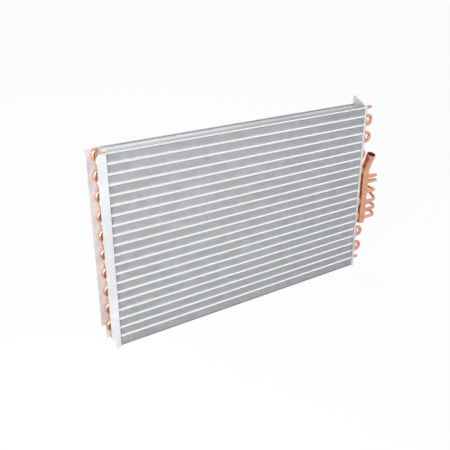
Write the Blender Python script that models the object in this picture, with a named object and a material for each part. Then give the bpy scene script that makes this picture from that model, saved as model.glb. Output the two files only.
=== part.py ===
"""Evaporator coil: plate fins on three staggered rows of hairpin tubes, held between two end plates.

Run with Blender 4.5. Every size is in metres. X runs along the tubes, -Y is the front that the air meets,
and Z is up. The origin is under the base rail, in the middle of the fin pack.

The hairpins are bent at the left end. At the right end, return bends join them into six circuits, and six
feeder tubes lead the circuits' outlets round to the outer side of the suction header.
"""
import math

import bmesh
import bpy
from mathutils import Vector
from mathutils.geometry import delaunay_2d_cdt

# Tube pattern
TUBES_PER_ROW = 20
TUBE_PITCH = 0.0254
ROW_PITCH = 0.01905
TUBE_OD = 0.00953

# Fin pack
FIN_LENGTH = 0.7955
FIN_SETBACK = 0.0032
FIN_MOUTH = 0.0086
LOWEST_TUBE_RISE = 0.0208
FIN_TOP_MARGIN = 0.0017

# Sheet parts
SHEET = 0.0015
BEND_RADIUS = 0.003
END_GAP = 0.0025
LEFT_FRONT_FLANGE = 0.0272
LEFT_FRONT_FOOT = 0.0170
LEFT_FRONT_FOOT_HEIGHT = 0.024
LEFT_BACK_FLANGE = 0.0307
LEFT_BACK_FOOT = 0.0197
LEFT_BACK_FOOT_HEIGHT = 0.041
FLANGE_CORNER = 0.008
RIGHT_FLANGE = 0.0076
RIGHT_FRONT_RISE = 0.0041
RIGHT_BACK_RISE = 0.0274
RIGHT_BACK_CORNER = 0.004
BASE_HEIGHT = 0.006
RAIL_SHEET = 0.0012
RAIL_WIDTH = 0.044
TOP_SHEET = 0.001

# Tube ends and return bends, measured from the ends of the fins
HAIRPIN_LEG = 0.0045
TUBE_END = 0.013
SHORT_END = 0.005
INLET_END = 0.032
INLET_DOME = 0.002
SOCKET_LENGTH = 0.006
SOCKET_WALL = 0.0008
BEND_LEG = 0.0238
SHORT_BEND_LEG = 0.007

# Suction header, measured from the right end of the fins and from their front edges
HEADER_OD = 0.0254
HEADER_OUT = 0.0375
HEADER_BACK = 0.0114
HEADER_TOP_INDEX = 7.9
HEADER_BOTTOM_INDEX = 14.55
HEADER_END_ROUND = 0.005
STUB_LENGTH = 0.0565
STUB_LEAN_DEG = 20.0
STUB_KNEE_RISE = 0.006
STUB_BORE = 0.0225
STUB_BORE_DEPTH = 0.038
SWAGE_LENGTH = 0.012
SWAGE_WALL = 0.001
JOINT_BEAD = 0.0004

# Feeders: where they leave their tubes, how far out they turn, and the heights at which they pass behind
# the header and enter it, counted in tube pitches down from the top tube
FEEDER_TURN = 0.011
MIDDLE_LANE = 0.0065
MIDDLE_STEP_START = 0.010
MIDDLE_STEP_END = 0.022
BACK_STRAIGHT = 0.0485
LEVEL_START = 0.072
FEEDER_REACH = (0.093, 0.095, 0.091, 0.095, 0.097, 0.096)
PASS_INDEX = (9.0, 9.65, 10.6, 11.15, 12.6, 13.6)
ENTRY_INDEX = (8.73, 9.38, 10.67, 11.92, 13.0, 14.03)

# Clearance between pieces that touch, and how finely round forms are cut
SEAT_GAP = 0.0003
TUBE_SIDES = 8
HEADER_SIDES = 16
BEND_STEPS = 6
CORNER_STEPS = 3

# Worked out from the sizes above
PLATE_DEPTH = 3 * ROW_PITCH
TUBE_RADIUS = TUBE_OD / 2
HOLE_RADIUS = TUBE_RADIUS + SEAT_GAP
SEAT_RADIUS = HOLE_RADIUS + SEAT_GAP
FRONT = -PLATE_DEPTH / 2
FIN_FRONT = FRONT + FIN_SETBACK
FIN_BACK = -FIN_FRONT
LEFT_END = -FIN_LENGTH / 2
RIGHT_END = FIN_LENGTH / 2
PLATE_MID = END_GAP + SHEET / 2
ROW_Y = {"front": -ROW_PITCH, "middle": 0.0, "back": ROW_PITCH}
LOWEST_TUBE = BASE_HEIGHT + LOWEST_TUBE_RISE
TOP_TUBE = LOWEST_TUBE + (TUBES_PER_ROW - 1) * TUBE_PITCH
FIN_TOP = TOP_TUBE + FIN_TOP_MARGIN
HALF_ROW = TUBES_PER_ROW // 2
HEADER_X = RIGHT_END + HEADER_OUT
HEADER_Y = FIN_FRONT + HEADER_BACK

COPPER = ("copper_tube", (0.80, 0.42, 0.27), 0.32, 1.0)
ALUMINIUM = ("fin_aluminium", (0.62, 0.63, 0.64), 0.42, 1.0)
GALVANISED = ("galvanised_sheet", (0.74, 0.75, 0.76), 0.45, 1.0)


def clear_scene():
    for item in list(bpy.data.objects):
        bpy.data.objects.remove(item, do_unlink=True)


def material(finish):
    name, colour, roughness, metallic = finish
    made = bpy.data.materials.get(name)
    if made is None:
        made = bpy.data.materials.new(name)
        made.use_nodes = True
        shader = made.node_tree.nodes["Principled BSDF"]
        shader.inputs["Base Color"].default_value = (*colour, 1.0)
        shader.inputs["Roughness"].default_value = roughness
        shader.inputs["Metallic"].default_value = metallic
        made.diffuse_color = (*colour, 1.0)
    return made


def piece_from(bm, name, finish, smooth_angle=None):
    """Turns a bmesh into a named object with its own mesh and finish."""
    mesh = bpy.data.meshes.new(name)
    bmesh.ops.recalc_face_normals(bm, faces=bm.faces)
    bm.to_mesh(mesh)
    bm.free()
    piece = bpy.data.objects.new(name, mesh)
    bpy.context.scene.collection.objects.link(piece)
    mesh.materials.append(material(finish))
    if smooth_angle is not None:
        mesh.shade_smooth()
        mesh.set_sharp_from_angle(angle=math.radians(smooth_angle))
    return piece


def height_at(index):
    """Height of the front and back rows' tube with this number, counted down from the top."""
    return TOP_TUBE - index * TUBE_PITCH


def tube_centre(row, number):
    """Y and Z of a tube's axis. The middle row sits half a pitch lower than the other two."""
    stagger = 0.5 if row == "middle" else 0.0
    return ROW_Y[row], height_at(number + stagger)


def hole_outline(y, z, radius=HOLE_RADIUS):
    """Corners of a round hole about a tube, set flat to flat with the tube's own sides."""
    turn = math.tau / TUBE_SIDES
    return [(y + radius * math.cos((i + 0.5) * turn), z + radius * math.sin((i + 0.5) * turn))
            for i in range(TUBE_SIDES)]


def arc_points(centre, radius, start_deg, end_deg, steps):
    """Points of an arc in two dimensions, both ends included."""
    points = []
    for i in range(steps + 1):
        angle = math.radians(start_deg + (end_deg - start_deg) * i / steps)
        points.append((centre[0] + radius * math.cos(angle), centre[1] + radius * math.sin(angle)))
    return points


def encloses(outline, point):
    """Whether a flat point lies within an outline."""
    within = False
    for (a, b), (c, d) in zip(outline, outline[1:] + outline[:1]):
        if (b > point[1]) != (d > point[1]) and point[0] < (c - a) * (point[1] - b) / (d - b) + a:
            within = not within
    return within


def fill_outlines(bm, outlines, place):
    """Fills a flat shape: the first outline is its edge and the others are holes in it."""
    corners, edges = [], []
    for outline in outlines:
        first, count = len(corners), len(outline)
        edges += [(first + i, first + (i + 1) % count) for i in range(count)]
        corners += [Vector(corner) for corner in outline]
    corners, _, triangles, *_ = delaunay_2d_cdt(corners, edges, [], 0, SHEET / 10000)
    verts = [bm.verts.new(place(*corner)) for corner in corners]
    faces = []
    for triangle in triangles:
        middle = sum((corners[i] for i in triangle), Vector((0.0, 0.0))) / 3
        if encloses(outlines[0], middle) and not any(encloses(hole, middle) for hole in outlines[1:]):
            faces.append(bm.faces.new([verts[i] for i in triangle]))
    return faces


def fin_seat(y, z, side):
    """Notch round a tube that lies at the fins' edge, from its upper lip to its lower lip.

    side is -1 at the front edge and 1 at the back edge. The mouth is narrower than the tube.
    """
    lip = FIN_MOUTH / 2
    inset = math.sqrt(SEAT_RADIUS ** 2 - lip ** 2)
    edge = FIN_FRONT if side < 0 else FIN_BACK
    lip_angle = math.degrees(math.atan2(lip, -inset))
    points = [(edge, z + lip)]
    for along, up in arc_points((0.0, 0.0), SEAT_RADIUS, lip_angle, -lip_angle, TUBE_SIDES - 1):
        points.append((y - side * along, z + up))
    points.append((edge, z - lip))
    return points


def top_seat(y, z, side):
    """Notch of the topmost tube, whose upper half stands out of the fins' top edge."""
    rise = math.degrees(math.asin(FIN_TOP_MARGIN / SEAT_RADIUS))
    lip = FIN_MOUTH / 2
    inset = math.sqrt(SEAT_RADIUS ** 2 - lip ** 2)
    lip_angle = math.degrees(math.atan2(lip, -inset))
    points = []
    for along, up in arc_points((0.0, 0.0), SEAT_RADIUS, rise, -lip_angle, TUBE_SIDES - 2):
        points.append((y - side * along, z + up))
    points.append((FIN_FRONT if side < 0 else FIN_BACK, z - lip))
    return points


def fin_outline():
    """Edge of one fin seen along X: notched down the front and up the back."""
    outline = top_seat(*tube_centre("front", 0), -1)
    for number in range(1, TUBES_PER_ROW):
        outline += fin_seat(*tube_centre("front", number), -1)
    outline += [(FIN_FRONT, BASE_HEIGHT), (FIN_BACK, BASE_HEIGHT)]
    for number in reversed(range(1, TUBES_PER_ROW)):
        outline += reversed(fin_seat(*tube_centre("back", number), 1))
    outline += reversed(top_seat(*tube_centre("back", 0), 1))
    return outline


def build_fin_pack():
    """The pack of plate fins as one solid, pierced and notched for every tube."""
    holes = [hole_outline(*tube_centre("middle", number)) for number in range(TUBES_PER_ROW)]
    bm = bmesh.new()
    faces = fill_outlines(bm, [fin_outline()] + holes, lambda y, z: (LEFT_END, y, z))
    grown = bmesh.ops.extrude_face_region(bm, geom=faces)
    moved = [item for item in grown["geom"] if isinstance(item, bmesh.types.BMVert)]
    bmesh.ops.translate(bm, verts=moved, vec=(FIN_LENGTH, 0.0, 0.0))
    return piece_from(bm, "fin_pack", ALUMINIUM)


def plate_top_notches(top):
    """Top edge of a plate that the two topmost tubes lie in, from front to back."""
    edge = []
    for row in ("front", "back"):
        y, z = tube_centre(row, 0)
        rise = math.degrees(math.asin((top - z) / SEAT_RADIUS))
        edge += arc_points((y, z), SEAT_RADIUS, 180.0 - rise, 360.0 + rise, TUBE_SIDES - 2)
    return edge


def add_flange(bm, side, direction, outline, web_edge_height):
    """A flange with its rolled bend, on the front or back edge of an end plate's web.

    side is -1 for the front flange and 1 for the back one, direction is -1 where it points to -X. The
    outline gives the flange's free edge from top to bottom, as distances from the fins' end and heights.
    """
    middle = BEND_RADIUS - SHEET / 2
    end_x = LEFT_END if direction < 0 else RIGHT_END
    web_x = end_x + direction * PLATE_MID
    edge_y = side * (PLATE_DEPTH / 2 - SHEET / 2)
    heights = (web_edge_height, 0.0)
    previous = None
    for step in range(CORNER_STEPS + 1):
        angle = math.radians(90.0 * step / CORNER_STEPS)
        x = web_x + direction * middle * (1.0 - math.cos(angle))
        y = edge_y - side * middle * (1.0 - math.sin(angle))
        current = [bm.verts.new((x, y, z)) for z in heights]
        if previous:
            bm.faces.new((previous[0], previous[1], current[1], current[0]))
        previous = current
    free = [bm.verts.new((end_x + direction * out, edge_y, z)) for out, z in outline]
    bm.faces.new([previous[0]] + free + [previous[1]])


def build_end_plate(name, direction, web_outline, flanges):
    """A folded end plate: a web pierced for the tubes, with a flange along its front and back edges."""
    end_x = LEFT_END if direction < 0 else RIGHT_END
    web_x = end_x + direction * PLATE_MID
    top_is_open = web_outline["open_top"]
    holes = []
    for row in ROW_Y:
        for number in range(TUBES_PER_ROW):
            if not (top_is_open and number == 0 and row != "middle"):
                holes.append(hole_outline(*tube_centre(row, number)))
    bm = bmesh.new()
    fill_outlines(bm, [web_outline["edge"]] + holes, lambda y, z: (web_x, y, z))
    for side, outline, web_edge_height in flanges:
        add_flange(bm, side, direction, outline, web_edge_height)
    bmesh.ops.remove_doubles(bm, verts=bm.verts, dist=SHEET / 100)
    plate = piece_from(bm, name, GALVANISED)
    thicken = plate.modifiers.new("sheet", "SOLIDIFY")
    thicken.thickness = SHEET
    thicken.offset = 0.0
    thicken.use_even_offset = True
    return plate


def build_left_end_plate():
    """Channel with both flanges turned out past the hairpin bends, their feet cut narrower."""
    web_half = PLATE_DEPTH / 2 - SHEET / 2 - (BEND_RADIUS - SHEET / 2)
    edge = [(-web_half, FIN_TOP)] + plate_top_notches(FIN_TOP)
    edge += [(web_half, FIN_TOP), (web_half, 0.0), (-web_half, 0.0)]
    corner = (LEFT_FRONT_FLANGE - FLANGE_CORNER, FIN_TOP - FLANGE_CORNER)
    front = [(out, z) for out, z in arc_points(corner, FLANGE_CORNER, 90.0, 0.0, CORNER_STEPS)]
    front += [(LEFT_FRONT_FLANGE, LEFT_FRONT_FOOT_HEIGHT), (LEFT_FRONT_FOOT, LEFT_FRONT_FOOT_HEIGHT),
              (LEFT_FRONT_FOOT, 0.0)]
    back = [(LEFT_BACK_FLANGE, FIN_TOP), (LEFT_BACK_FLANGE, LEFT_BACK_FOOT_HEIGHT),
            (LEFT_BACK_FOOT, LEFT_BACK_FOOT_HEIGHT), (LEFT_BACK_FOOT, 0.0)]
    return build_end_plate("left_end_plate", -1, {"edge": edge, "open_top": True},
                           [(-1, front, FIN_TOP), (1, back, FIN_TOP)])


def build_right_end_plate():
    """Plate whose top edge climbs towards the back, with narrow flanges turned out."""
    web_half = PLATE_DEPTH / 2 - SHEET / 2 - (BEND_RADIUS - SHEET / 2)
    front_top = FIN_TOP + RIGHT_FRONT_RISE
    back_top = FIN_TOP + RIGHT_BACK_RISE
    corner = (web_half - RIGHT_BACK_CORNER, back_top - RIGHT_BACK_CORNER)
    edge = [(-web_half, front_top)] + arc_points(corner, RIGHT_BACK_CORNER, 90.0, 0.0, CORNER_STEPS)
    edge += [(web_half, FIN_TOP), (web_half, 0.0), (-web_half, 0.0)]
    front = [(RIGHT_FLANGE, front_top), (RIGHT_FLANGE, 0.0)]
    back = [(RIGHT_FLANGE, FIN_TOP), (RIGHT_FLANGE, 0.0)]
    return build_end_plate("right_end_plate", 1, {"edge": edge, "open_top": False},
                           [(-1, front, front_top), (1, back, FIN_TOP)])


def extrude_profile(name, profile, start_x, end_x, finish):
    """A long sheet part: a closed Y and Z profile drawn out along X."""
    bm = bmesh.new()
    face = bm.faces.new([bm.verts.new((start_x, y, z)) for y, z in profile])
    grown = bmesh.ops.extrude_face_region(bm, geom=[face])
    moved = [item for item in grown["geom"] if isinstance(item, bmesh.types.BMVert)]
    bmesh.ops.translate(bm, verts=moved, vec=(end_x - start_x, 0.0, 0.0))
    return piece_from(bm, name, finish)


def build_base_rail():
    """Channel under the fins, open upwards, whose lips carry the fins' lower edges."""
    half = RAIL_WIDTH / 2
    lip_top = BASE_HEIGHT - SEAT_GAP
    profile = [(-half, lip_top), (-half, 0.0), (half, 0.0), (half, lip_top), (half - RAIL_SHEET, lip_top),
               (half - RAIL_SHEET, RAIL_SHEET), (-half + RAIL_SHEET, RAIL_SHEET),
               (-half + RAIL_SHEET, lip_top)]
    reach = END_GAP - SEAT_GAP
    return extrude_profile("base_rail", profile, LEFT_END - reach, RIGHT_END + reach, GALVANISED)


def build_top_strip():
    """Flat strip on the fins' top edges, between the two topmost tubes."""
    half = ROW_PITCH - HOLE_RADIUS - SEAT_GAP
    low = FIN_TOP + SEAT_GAP
    profile = [(-half, low), (half, low), (half, low + TOP_SHEET), (-half, low + TOP_SHEET)]
    return extrude_profile("top_strip", profile, LEFT_END - END_GAP - SHEET,
                           RIGHT_END + END_GAP - SEAT_GAP, GALVANISED)


def sweep(bm, centres, radii, sides, first_side=None):
    """Adds a closed round bar along centres, with one radius for each of them."""
    points = [Vector(centre) for centre in centres]
    heading = (points[1] - points[0]).normalized()
    side = Vector(first_side) if first_side else heading.orthogonal()
    side = (side - heading * side.dot(heading)).normalized()
    rings = []
    for i, point in enumerate(points):
        before = (point - points[i - 1]).normalized() if i else heading
        after = (points[i + 1] - point).normalized() if i + 1 < len(points) else before
        if after.length < 0.5:
            after = before
        if before.length < 0.5:
            before = after
        tangent = (before + after).normalized()
        side = (side - tangent * side.dot(tangent)).normalized()
        other = tangent.cross(side)
        rings.append([bm.verts.new(point + radii[i] * (math.cos(angle) * side + math.sin(angle) * other))
                      for angle in ((k + 0.5) * math.tau / sides for k in range(sides))])
    for lower, upper in zip(rings, rings[1:]):
        for k in range(sides):
            nxt = (k + 1) % sides
            bm.faces.new((lower[k], lower[nxt], upper[nxt], upper[k]))
    bm.faces.new(reversed(rings[0]))
    bm.faces.new(rings[-1])


def rounded_path(corners, radius, steps):
    """Route through the corners with each one rounded by an arc, or by less where the run is short."""
    points = [Vector(corner) for corner in corners]
    route = [points[0]]
    for before, corner, after in zip(points, points[1:], points[2:]):
        into = (corner - before).normalized()
        out = (after - corner).normalized()
        turn = into.angle(out)
        room = 0.49 * min((corner - before).length, (after - corner).length)
        trim = min(radius * math.tan(turn / 2), room)
        bend = trim / math.tan(turn / 2)
        centre = corner + (out - into).normalized() * (bend / math.cos(turn / 2))
        start = corner - into * trim - centre
        axis = into.cross(out).normalized()
        for i in range(steps + 1):
            angle = turn * i / steps
            route.append(centre + start * math.cos(angle) + axis.cross(start) * math.sin(angle))
    route.append(points[-1])
    return route


def half_turn(start, end, out, steps):
    """Centres of a 180 degree bend from start to end that bulges along out, both ends included."""
    start, end = Vector(start), Vector(end)
    middle = (start + end) / 2
    arm = start - middle
    bulge = Vector(out).normalized() * arm.length
    return [middle + arm * math.cos(math.pi * i / steps) + bulge * math.sin(math.pi * i / steps)
            for i in range(steps + 1)]


def circuit_joints():
    """Every return bend as (row, number, row, number). The lower half of the coil mirrors the upper."""
    last = TUBES_PER_ROW - 1
    upper = [("front", HALF_ROW - 1, "middle", HALF_ROW - 1)]
    for row, stop in (("front", HALF_ROW - 1), ("middle", HALF_ROW - 3), ("back", HALF_ROW - 1)):
        upper += [(row, number, row, number + 1) for number in range(1, stop, 2)]
    lower = [("front", HALF_ROW, "middle", HALF_ROW)]
    lower += [(row, last - below, row, last - number) for row, number, _, below in upper[1:]]
    return upper + lower


def circuit_inlets():
    """The tubes that the liquid enters: the top and the bottom tube of every row."""
    return [(row, number) for row in ROW_Y for number in (0, TUBES_PER_ROW - 1)]


def circuit_outlets():
    """The tubes at mid height that lead to the suction header, from the top one down."""
    return [("middle", HALF_ROW - 3), ("middle", HALF_ROW - 2), ("back", HALF_ROW - 1),
            ("back", HALF_ROW), ("middle", HALF_ROW + 1), ("middle", HALF_ROW + 2)]


def is_short(joint):
    """Whether a bend lies between the fins and the suction header, where there is less room."""
    row_a, number_a, row_b, number_b = joint
    _, upper = tube_centre(row_a, number_a)
    _, lower = tube_centre(row_b, number_b)
    span_top = height_at(HEADER_TOP_INDEX) + STUB_KNEE_RISE + STUB_LENGTH
    span_bottom = height_at(HEADER_BOTTOM_INDEX) - TUBE_RADIUS
    return "back" not in (row_a, row_b) and lower < span_top and upper > span_bottom


def leg_ends():
    """How far each tube stands out past the right end of the fins."""
    ends = {}
    for joint in circuit_joints():
        row_a, number_a, row_b, number_b = joint
        ends[(row_a, number_a)] = SHORT_END if is_short(joint) else TUBE_END
        ends[(row_b, number_b)] = SHORT_END if is_short(joint) else TUBE_END
    for tube in circuit_inlets():
        ends[tube] = INLET_END
    for tube in circuit_outlets():
        ends[tube] = SHORT_END
    return ends


def build_hairpin(row, number, ends):
    """One tube bent double at the left end, with both legs through the whole fin pack.

    The end of an inlet leg is spun closed into a low dome.
    """
    y, upper = tube_centre(row, number)
    _, lower = tube_centre(row, number + 1)
    bend_x = LEFT_END - HAIRPIN_LEG
    legs = []
    for tube, z in (((row, number), upper), ((row, number + 1), lower)):
        end = RIGHT_END + ends[tube]
        leg = [((end, y, z), TUBE_RADIUS)]
        if tube in circuit_inlets():
            leg = [((end, y, z), TUBE_RADIUS * 0.45), ((end - INLET_DOME / 4, y, z), TUBE_RADIUS * 0.8),
                   ((end - INLET_DOME, y, z), TUBE_RADIUS)]
        legs.append(leg)
    turn = half_turn((bend_x, y, upper), (bend_x, y, lower), (-1, 0, 0), BEND_STEPS)
    stations = legs[0] + [(point, TUBE_RADIUS) for point in turn] + legs[1][::-1]
    bm = bmesh.new()
    sweep(bm, [point for point, _ in stations], [radius for _, radius in stations], TUBE_SIDES,
          (0.0, 1.0, 0.0))
    return piece_from(bm, f"hairpin_{row}_{number // 2 + 1:02d}", COPPER, 50)


def build_return_bend(joint):
    """A brazed bend between two tube ends, with a bell at each end where the tube goes in."""
    row_a, number_a, row_b, number_b = joint
    y_a, z_a = tube_centre(row_a, number_a)
    y_b, z_b = tube_centre(row_b, number_b)
    short = is_short(joint)
    start = RIGHT_END + (SHORT_END if short else TUBE_END) + SEAT_GAP
    bend_x = RIGHT_END + (SHORT_BEND_LEG if short else BEND_LEG)
    turn = half_turn((bend_x, y_a, z_a), (bend_x, y_b, z_b), (1, 0, 0), BEND_STEPS)
    bell = TUBE_RADIUS + SOCKET_WALL
    if short:
        leg_xs, leg_radii = [start], [TUBE_RADIUS]
    else:
        leg_xs = [start, start + SOCKET_LENGTH, start + SOCKET_LENGTH + SOCKET_WALL]
        leg_radii = [bell, bell, TUBE_RADIUS]
    centres = [(x, y_a, z_a) for x in leg_xs] + turn + [(x, y_b, z_b) for x in reversed(leg_xs)]
    radii = leg_radii + [TUBE_RADIUS] * len(turn) + leg_radii[::-1]
    side = (0.0, 1.0, 0.0) if row_a == row_b else None
    bm = bmesh.new()
    sweep(bm, centres, radii, TUBE_SIDES, side)
    kind = "return_bend" if row_a == row_b else "crossover"
    return piece_from(bm, f"{kind}_{row_a}_{number_a + 1:02d}", COPPER, 50)


def feeder_route(place):
    """Corners of one feeder, from its tube end to the outer side of the header."""
    row, number = circuit_outlets()[place]
    y, z = tube_centre(row, number)
    reach = RIGHT_END + FEEDER_REACH[place]
    entry = height_at(ENTRY_INDEX[place])
    inside = HEADER_X + HEADER_OD / 4
    corners = [(RIGHT_END + SHORT_END + SEAT_GAP, y, z)]
    if row == "middle":
        y = MIDDLE_LANE
        corners += [(RIGHT_END + MIDDLE_STEP_START, ROW_Y[row], z), (RIGHT_END + MIDDLE_STEP_END, y, z)]
    else:
        corners.append((RIGHT_END + BACK_STRAIGHT, y, z))
    behind = height_at(PASS_INDEX[place])
    corners += [(RIGHT_END + LEVEL_START, y, behind), (reach, y, behind), (reach, HEADER_Y, entry),
                (inside, HEADER_Y, entry)]
    return corners


def build_feeder(place):
    """A feeder as a solid that the header is joined with."""
    route = rounded_path(feeder_route(place), FEEDER_TURN, CORNER_STEPS)
    bm = bmesh.new()
    sweep(bm, route, [TUBE_RADIUS] * len(route), TUBE_SIDES, (0.0, 1.0, 0.0))
    feeder = piece_from(bm, f"feeder_{place + 1}", COPPER)
    feeder.hide_render = True
    feeder.display_type = "WIRE"
    return feeder


def stub_direction():
    lean = math.radians(STUB_LEAN_DEG)
    return Vector((0.0, -math.sin(lean), math.cos(lean)))


def build_suction_header():
    """Header with a round lower end, a stub leaning to the front with an open mouth, and six feeders."""
    radius = HEADER_OD / 2
    bottom = height_at(HEADER_BOTTOM_INDEX)
    joint = height_at(HEADER_TOP_INDEX)
    centres, radii = [], []
    for i in range(CORNER_STEPS + 1):
        angle = math.pi / 2 * i / CORNER_STEPS
        centres.append((HEADER_X, HEADER_Y, bottom + HEADER_END_ROUND * (1.0 - math.cos(angle))))
        radii.append(radius - HEADER_END_ROUND * (1.0 - math.sin(angle)))
    for rise, extra in ((-4 * JOINT_BEAD, 0.0), (-2 * JOINT_BEAD, JOINT_BEAD), (0.0, JOINT_BEAD),
                        (2 * JOINT_BEAD, 0.0)):
        centres.append((HEADER_X, HEADER_Y, joint + rise))
        radii.append(radius + extra)
    knee = Vector((HEADER_X, HEADER_Y, joint + STUB_KNEE_RISE))
    along = stub_direction()
    mouth = knee + along * STUB_LENGTH
    bent = rounded_path([centres[-1], knee, mouth], radius, CORNER_STEPS)[1:-1]
    centres += bent
    radii += [radius] * len(bent)
    for back, extra in ((SWAGE_LENGTH + SWAGE_WALL, 0.0), (SWAGE_LENGTH, SWAGE_WALL), (0.0, SWAGE_WALL)):
        centres.append(mouth - along * back)
        radii.append(radius + extra)
    bm = bmesh.new()
    sweep(bm, centres, radii, HEADER_SIDES, (0.0, 1.0, 0.0))
    header = piece_from(bm, "suction_header", COPPER, 40)
    for place in range(len(circuit_outlets())):
        join = header.modifiers.new(f"joined_feeder_{place + 1}", "BOOLEAN")
        join.operation = "UNION"
        join.solver = "EXACT"
        join.object = build_feeder(place)
    bm = bmesh.new()
    sweep(bm, [mouth - along * STUB_BORE_DEPTH, mouth + along * STUB_BORE_DEPTH], [STUB_BORE / 2] * 2,
          HEADER_SIDES, (0.0, 1.0, 0.0))
    cutter = piece_from(bm, "stub_bore_cutter", COPPER)
    cutter.hide_render = True
    cutter.display_type = "WIRE"
    bore = header.modifiers.new("stub_bore", "BOOLEAN")
    bore.operation = "DIFFERENCE"
    bore.solver = "EXACT"
    bore.object = cutter
    return header


def main():
    clear_scene()
    build_fin_pack()
    build_left_end_plate()
    build_right_end_plate()
    build_base_rail()
    build_top_strip()
    ends = leg_ends()
    for row in ROW_Y:
        for number in range(0, TUBES_PER_ROW - 1, 2):
            build_hairpin(row, number, ends)
    for joint in circuit_joints():
        build_return_bend(joint)
    build_suction_header()


main()
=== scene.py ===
"""Evaporator coil dressed for a picture: real fins, round tubes, brazed bends and sheet metal.

Every size is in metres. X runs along the tubes, -Y is the front and Z is up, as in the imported
model.
"""

import math

import bpy
from mathutils import Matrix, Vector


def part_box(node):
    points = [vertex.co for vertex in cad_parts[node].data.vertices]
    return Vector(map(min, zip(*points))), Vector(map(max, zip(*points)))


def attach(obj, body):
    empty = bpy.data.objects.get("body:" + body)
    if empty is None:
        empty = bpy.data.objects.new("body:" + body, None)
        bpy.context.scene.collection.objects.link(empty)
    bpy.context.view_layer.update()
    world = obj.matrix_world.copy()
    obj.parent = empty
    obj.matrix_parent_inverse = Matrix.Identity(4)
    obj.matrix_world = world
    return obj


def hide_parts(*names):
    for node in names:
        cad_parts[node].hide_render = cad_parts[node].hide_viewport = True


bl_info = {
    "name": "Evaporator Coil",
    "version": (1, 0, 0),
    "blender": (4, 5, 0),
    "location": "View3D > Sidebar > Coil",
    "description": "Builds a plate-fin evaporator coil with its bends, header and end plates",
    "category": "Object",
}

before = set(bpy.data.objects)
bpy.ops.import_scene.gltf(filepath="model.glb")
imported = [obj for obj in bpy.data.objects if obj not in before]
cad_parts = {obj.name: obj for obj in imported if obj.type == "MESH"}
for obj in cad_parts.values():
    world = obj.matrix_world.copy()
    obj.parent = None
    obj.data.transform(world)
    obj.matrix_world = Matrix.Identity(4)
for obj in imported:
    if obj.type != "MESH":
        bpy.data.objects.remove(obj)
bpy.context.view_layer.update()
FIN_LOW, FIN_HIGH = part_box("fin_pack")
HEADER_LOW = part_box("suction_header")[0]

# Tubes are numbered from the top, and the middle row is staggered by half a pitch
PER_ROW = 20
HALF = PER_ROW // 2
STAGGER = {"front": 0.0, "middle": 0.5, "back": 0.0}
ROW_SIDE = {"front": -1, "middle": 0, "back": 1}
OUTLETS = (("middle", HALF - 3), ("middle", HALF - 2), ("back", HALF - 1), ("back", HALF),
           ("middle", HALF + 1), ("middle", HALF + 2))


class CoilSizes(bpy.types.PropertyGroup):
    tube_diameter: bpy.props.FloatProperty(
        name="Tube diameter", description="Outside diameter of the copper tube", default=0.00953,
        min=0.004, unit="LENGTH")
    tube_pitch: bpy.props.FloatProperty(
        name="Tube pitch", description="Distance between tubes in a row", default=0.0254, min=0.01,
        unit="LENGTH")
    row_pitch: bpy.props.FloatProperty(
        name="Row pitch", description="Distance between the rows of tubes", default=0.01905,
        min=0.01, unit="LENGTH")
    top_tube: bpy.props.FloatProperty(
        name="Top tube height", description="Height of the topmost tube's axis", default=0.5094,
        min=0.1, unit="LENGTH")
    fin_pitch: bpy.props.FloatProperty(
        name="Fin pitch", description="Distance from one fin to the next", default=0.0021,
        min=0.001, unit="LENGTH")
    fin_sheet: bpy.props.FloatProperty(
        name="Fin thickness", description="Thickness of the fin stock", default=0.00016,
        min=0.0001, unit="LENGTH")
    fin_mouth: bpy.props.FloatProperty(
        name="Fin mouth", description="Height of the open slot in front of an edge tube",
        default=0.0086, min=0.001, unit="LENGTH")
    collar_wall: bpy.props.FloatProperty(
        name="Collar wall", description="Wall of the fins' collars round a tube", default=0.00014,
        min=0.00005, unit="LENGTH")
    long_end: bpy.props.FloatProperty(
        name="Tube end", description="How far a tube stands out to an ordinary return bend",
        default=0.013, min=0.002, unit="LENGTH")
    short_end: bpy.props.FloatProperty(
        name="Short tube end", description="How far a tube stands out next to the header",
        default=0.005, min=0.002, unit="LENGTH")
    inlet_end: bpy.props.FloatProperty(
        name="Inlet stub", description="How far an inlet stub stands out", default=0.032,
        min=0.01, unit="LENGTH")
    socket_wall: bpy.props.FloatProperty(
        name="Socket wall", description="How much wider a belled socket is on each side",
        default=0.0008, min=0.0002, unit="LENGTH")
    header_diameter: bpy.props.FloatProperty(
        name="Header diameter", description="Outside diameter of the suction header",
        default=0.0254, min=0.01, unit="LENGTH")


class CoilColours(bpy.types.PropertyGroup):
    copper: bpy.props.FloatVectorProperty(
        name="Copper", description="Drawn copper tube", subtype="COLOR",
        default=(0.80, 0.42, 0.27), min=0.0, max=1.0)
    copper_dull: bpy.props.FloatVectorProperty(
        name="Dull copper", description="Copper where it has been handled or heated",
        subtype="COLOR", default=(0.62, 0.29, 0.18), min=0.0, max=1.0)
    fin: bpy.props.FloatVectorProperty(
        name="Fin aluminium", description="Mill finish fin stock", subtype="COLOR",
        default=(0.78, 0.79, 0.80), min=0.0, max=1.0)
    collar: bpy.props.FloatVectorProperty(
        name="Collar aluminium", description="Bright collars drawn round the tubes",
        subtype="COLOR", default=(0.90, 0.90, 0.91), min=0.0, max=1.0)
    zinc: bpy.props.FloatVectorProperty(
        name="Zinc", description="Light crystals of galvanised sheet", subtype="COLOR",
        default=(0.77, 0.78, 0.79), min=0.0, max=1.0)
    zinc_dull: bpy.props.FloatVectorProperty(
        name="Dull zinc", description="Darker crystals of galvanised sheet", subtype="COLOR",
        default=(0.62, 0.63, 0.65), min=0.0, max=1.0)
    braze: bpy.props.FloatVectorProperty(
        name="Braze", description="Brazing alloy at the joints", subtype="COLOR",
        default=(0.78, 0.66, 0.46), min=0.0, max=1.0)


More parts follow.
